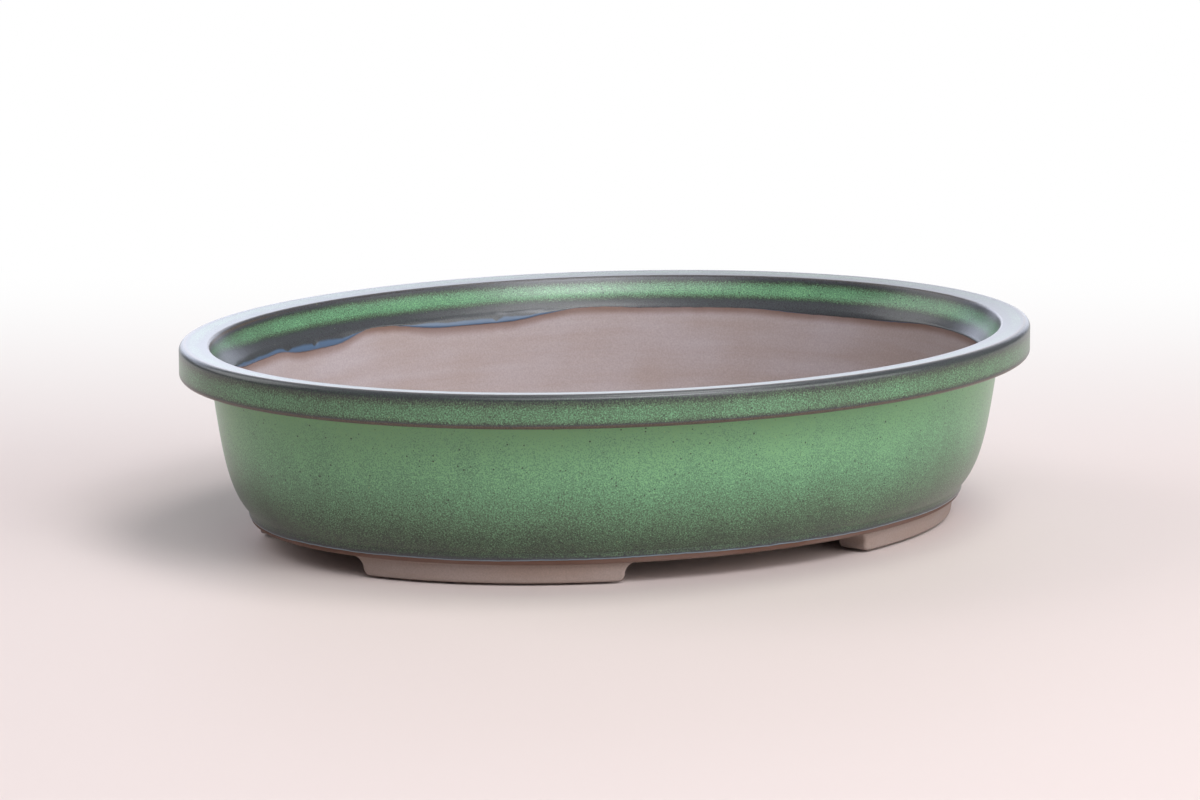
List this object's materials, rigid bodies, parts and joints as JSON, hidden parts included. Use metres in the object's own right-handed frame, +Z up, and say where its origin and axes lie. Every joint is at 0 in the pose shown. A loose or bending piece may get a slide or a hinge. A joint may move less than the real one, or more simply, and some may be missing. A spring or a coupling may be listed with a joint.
{
  "type": "oval bonsai pot",
  "caption": "Shallow oval bonsai pot of glazed stoneware with a thick everted rim, a bellied wall, a flat floor with drain and tie-wire holes, and low coved feet.",
  "frame": {"origin": "on the table under the middle of the pot", "axes": "+X along the pot's length, +Y along its width towards the back, +Z up"},
  "size_m": [0.255, 0.205, 0.056],
  "materials": {
    "glaze": "satin green glaze, breaking dark on edges",
    "stoneware": "bare fired grey-brown clay, matt"
  },
  "bodies": {
    "root": {"rim": "glaze", "wall": "glaze", "base_slab": "stoneware", "foot_front_left": "stoneware", "foot_front_right": "stoneware", "foot_back_left": "stoneware", "foot_back_right": "stoneware"}
  },
  "joints": []
}
